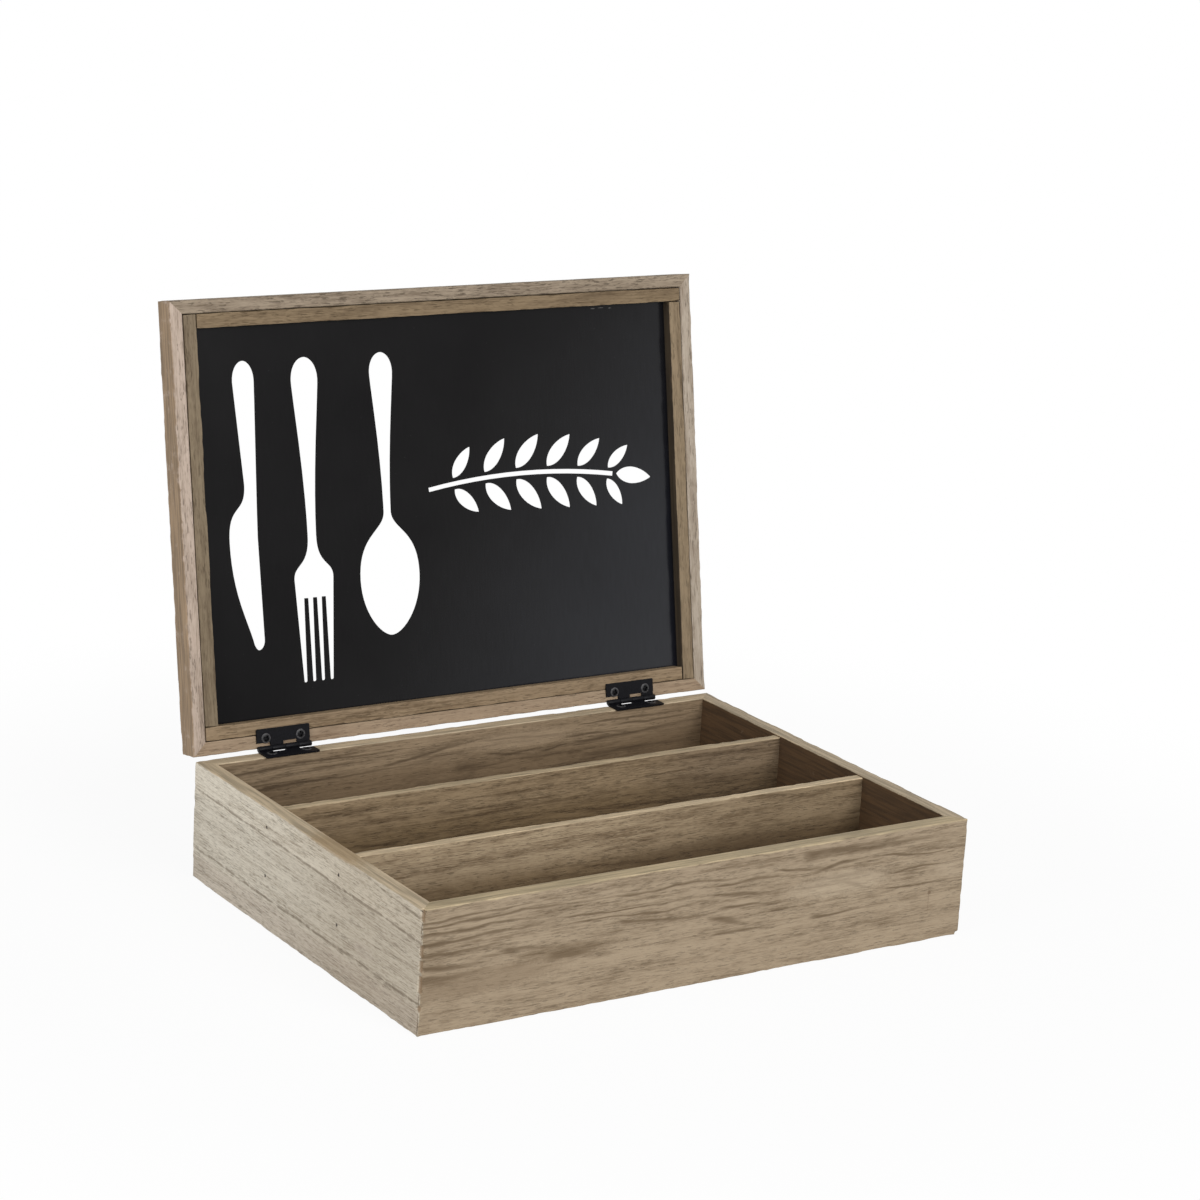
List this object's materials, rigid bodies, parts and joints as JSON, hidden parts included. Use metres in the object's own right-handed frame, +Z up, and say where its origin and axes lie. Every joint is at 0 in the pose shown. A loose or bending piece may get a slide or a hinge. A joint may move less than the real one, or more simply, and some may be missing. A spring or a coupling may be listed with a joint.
{
  "type": "cutlery organizer",
  "caption": "Wooden cutlery box with parallel bays and a hinged lid; the lid's wooden frame holds a black sheet pierced with cutlery shapes and a leaf sprig.",
  "frame": {"origin": "middle of the box's underside, on the surface that it stands on", "axes": "+X to the right along the front, +Y from the front to the hinges, +Z up; the lid stands open, leaning back"},
  "size_m": [0.34, 0.3105, 0.3129],
  "materials": {
    "oak_walls": "brushed, open-pored oak veneer, matt",
    "oak_dividers": "brushed, open-pored oak veneer, matt",
    "oak_floor": "brushed, open-pored oak veneer, matt",
    "oak_rails": "brushed, open-pored oak veneer, matt",
    "oak_strips": "brushed, open-pored oak veneer, matt",
    "black_sheet": "satin black paint",
    "black_hinges": "satin black lacquer",
    "black_screws": "black oxide",
    "black_pins": "black oxide",
    "steel_brads": "dull steel, sunk in the wood"
  },
  "bodies": {
    "box": {"front_wall": "oak_walls", "right_wall": "oak_walls", "back_wall": "oak_walls", "left_wall": "oak_walls", "floor_panel": "oak_floor", "divider_1": "oak_dividers", "divider_2": "oak_dividers", "left_hinge_box_leaf": "black_hinges", "right_hinge_box_leaf": "black_hinges", "left_hinge_pin": "black_pins", "right_hinge_pin": "black_pins", "box_hinge_screws": "black_screws", "left_brads": "steel_brads", "right_brads": "steel_brads"},
    "lid": {"lid_rear_rail": "oak_rails", "lid_right_rail": "oak_rails", "lid_front_rail": "oak_rails", "lid_left_rail": "oak_rails", "lid_rear_strip": "oak_strips", "lid_right_strip": "oak_strips", "lid_front_strip": "oak_strips", "lid_left_strip": "oak_strips", "pierced_sheet": "black_sheet", "left_hinge_lid_leaf": "black_hinges", "right_hinge_lid_leaf": "black_hinges", "lid_hinge_screws": "black_screws"}
  },
  "joints": [
    {"name": "lid_hinge", "type": "hinge", "parent": "box", "child": "lid", "pos_m": [0, 0.1245, 0.0684], "axis": [1, 0, 0], "range_deg": [0, 101.2]}
  ]
}
